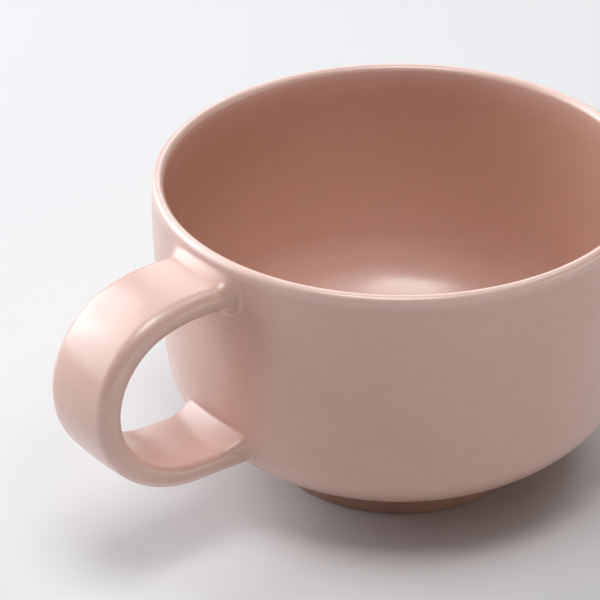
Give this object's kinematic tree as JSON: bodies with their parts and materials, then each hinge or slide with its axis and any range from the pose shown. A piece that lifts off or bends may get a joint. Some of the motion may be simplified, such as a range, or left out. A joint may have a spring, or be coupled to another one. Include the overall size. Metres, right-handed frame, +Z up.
{
  "type": "soup mug",
  "caption": "Wide low ceramic soup mug: round-shouldered bowl with a rounded lip, set on a foot ring, with a flat strap handle joined to the wall by slip fillets.",
  "frame": {"origin": "on the bowl's axis, at the level of the foot ring's tread", "axes": "+Z up along the bowl's axis, +X from the axis towards the handle, the handle's strap is even about the XZ plane"},
  "size_m": [0.1573, 0.12, 0.0772],
  "materials": {
    "glaze": "satin blush-pink glaze, paler where it thins over the lip and edges",
    "slip": "satin blush-pink glaze over clay slip",
    "foot": "matte, thin glaze over buff stoneware, tread wiped bare"
  },
  "bodies": {
    "root": {"bowl": "glaze", "foot_ring": "foot", "handle": "glaze", "upper_slip_joint": "slip", "lower_slip_joint": "slip"}
  },
  "joints": []
}
